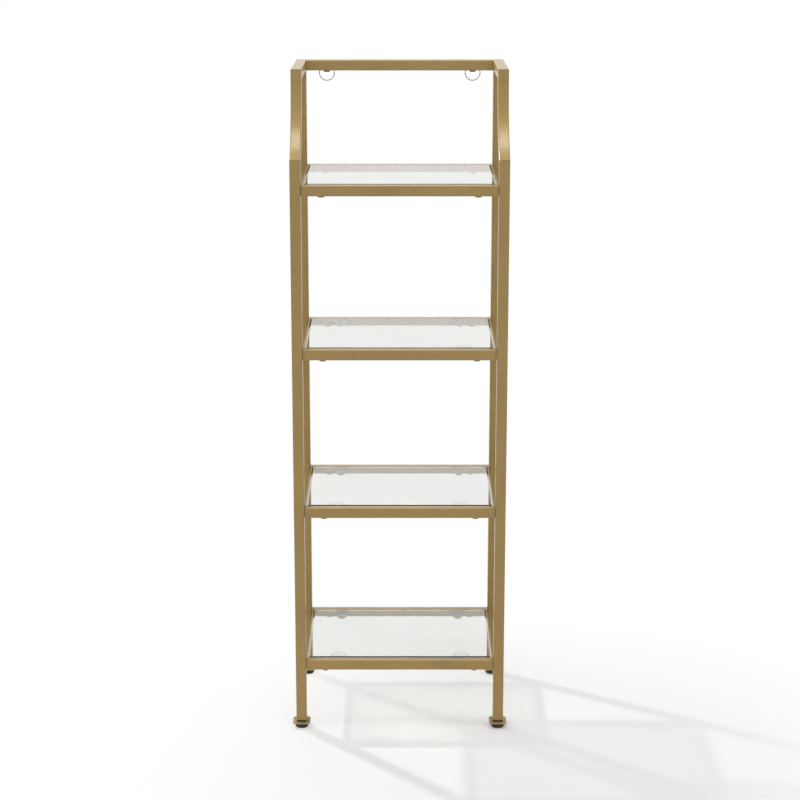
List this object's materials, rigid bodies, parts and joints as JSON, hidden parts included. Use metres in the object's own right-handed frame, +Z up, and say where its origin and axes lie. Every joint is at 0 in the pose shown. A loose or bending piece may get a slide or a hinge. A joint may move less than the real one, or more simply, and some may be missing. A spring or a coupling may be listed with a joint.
{
  "type": "etagere",
  "caption": "Tall open display stand of square gold tube with a swept-back crown and clear glass shelves resting on suction cups in welded frames.",
  "frame": {"origin": "on the floor below the middle of the stand", "axes": "+Z up, the front faces -Y, +X to the viewer's right as seen from the front"},
  "size_m": [0.5164, 0.3816, 1.575],
  "materials": {
    "gold_tube": "satin antique gold lacquer",
    "gold_plate": "satin antique gold lacquer",
    "gold_frame": "satin antique gold lacquer",
    "clear_vinyl": "clear soft vinyl",
    "shelf_glass": "polished clear tempered glass",
    "black_pad": "matt black moulding",
    "hanger_steel": "plain zinc-plated",
    "ring_steel": "bright plated wire"
  },
  "bodies": {
    "stand": {"left_front_post": "gold_tube", "right_front_post": "gold_tube", "left_rear_post": "gold_tube", "right_rear_post": "gold_tube", "left_crown_tube": "gold_tube", "right_crown_tube": "gold_tube", "left_top_side_rail": "gold_tube", "right_top_side_rail": "gold_tube", "top_rear_rail": "gold_tube", "front_left_foot_plate": "gold_plate", "front_right_foot_plate": "gold_plate", "rear_left_foot_plate": "gold_plate", "rear_right_foot_plate": "gold_plate", "shelf_1_front_rail": "gold_frame", "shelf_1_rear_rail": "gold_frame", "shelf_1_left_bar": "gold_frame", "shelf_1_right_bar": "gold_frame", "shelf_2_front_rail": "gold_frame", "shelf_2_rear_rail": "gold_frame", "shelf_2_left_bar": "gold_frame", "shelf_2_right_bar": "gold_frame", "shelf_3_front_rail": "gold_frame", "shelf_3_rear_rail": "gold_frame", "shelf_3_left_bar": "gold_frame", "shelf_3_right_bar": "gold_frame", "shelf_4_front_rail": "gold_frame", "shelf_4_rear_rail": "gold_frame", "shelf_4_left_bar": "gold_frame", "shelf_4_right_bar": "gold_frame", "shelf_1_front_left_cup": "clear_vinyl", "shelf_1_front_right_cup": "clear_vinyl", "shelf_1_rear_left_cup": "clear_vinyl", "shelf_1_rear_right_cup": "clear_vinyl", "shelf_2_front_left_cup": "clear_vinyl", "shelf_2_front_right_cup": "clear_vinyl", "shelf_2_rear_left_cup": "clear_vinyl", "shelf_2_rear_right_cup": "clear_vinyl", "shelf_3_front_left_cup": "clear_vinyl", "shelf_3_front_right_cup": "clear_vinyl", "shelf_3_rear_left_cup": "clear_vinyl", "shelf_3_rear_right_cup": "clear_vinyl", "shelf_4_front_left_cup": "clear_vinyl", "shelf_4_front_right_cup": "clear_vinyl", "shelf_4_rear_left_cup": "clear_vinyl", "shelf_4_rear_right_cup": "clear_vinyl", "left_ring_hanger": "hanger_steel", "right_ring_hanger": "hanger_steel"},
    "glass_1": {"shelf_1_glass": "shelf_glass"},
    "glass_2": {"shelf_2_glass": "shelf_glass"},
    "glass_3": {"shelf_3_glass": "shelf_glass"},
    "glass_4": {"shelf_4_glass": "shelf_glass"},
    "front_left_foot": {"front_left_leveler": "black_pad"},
    "front_right_foot": {"front_right_leveler": "black_pad"},
    "rear_left_foot": {"rear_left_leveler": "black_pad"},
    "rear_right_foot": {"rear_right_leveler": "black_pad"},
    "left_tie_ring": {"left_ring": "ring_steel"},
    "right_tie_ring": {"right_ring": "ring_steel"}
  },
  "joints": [
    {"name": "glass_1_lift", "type": "slide", "parent": "stand", "child": "glass_1", "axis": [0, 0, 1], "range_m": [0, 0.06]},
    {"name": "glass_2_lift", "type": "slide", "parent": "stand", "child": "glass_2", "axis": [0, 0, 1], "range_m": [0, 0.06]},
    {"name": "glass_3_lift", "type": "slide", "parent": "stand", "child": "glass_3", "axis": [0, 0, 1], "range_m": [0, 0.06]},
    {"name": "glass_4_lift", "type": "slide", "parent": "stand", "child": "glass_4", "axis": [0, 0, 1], "range_m": [0, 0.06]},
    {"name": "front_left_foot_screw", "type": "slide", "parent": "stand", "child": "front_left_foot", "axis": [0, 0, -1], "range_m": [0, 0.01]},
    {"name": "front_right_foot_screw", "type": "slide", "parent": "stand", "child": "front_right_foot", "axis": [0, 0, -1], "range_m": [0, 0.01]},
    {"name": "rear_left_foot_screw", "type": "slide", "parent": "stand", "child": "rear_left_foot", "axis": [0, 0, -1], "range_m": [0, 0.01]},
    {"name": "rear_right_foot_screw", "type": "slide", "parent": "stand", "child": "rear_right_foot", "axis": [0, 0, -1], "range_m": [0, 0.01]},
    {"name": "left_ring_swing", "type": "hinge", "parent": "stand", "child": "left_tie_ring", "pos_m": [-0.176, 0.1855, 1.56], "axis": [1, 0, 0], "range_deg": [0, 120]},
    {"name": "right_ring_swing", "type": "hinge", "parent": "stand", "child": "right_tie_ring", "pos_m": [0.176, 0.1855, 1.56], "axis": [1, 0, 0], "range_deg": [0, 120]}
  ]
}
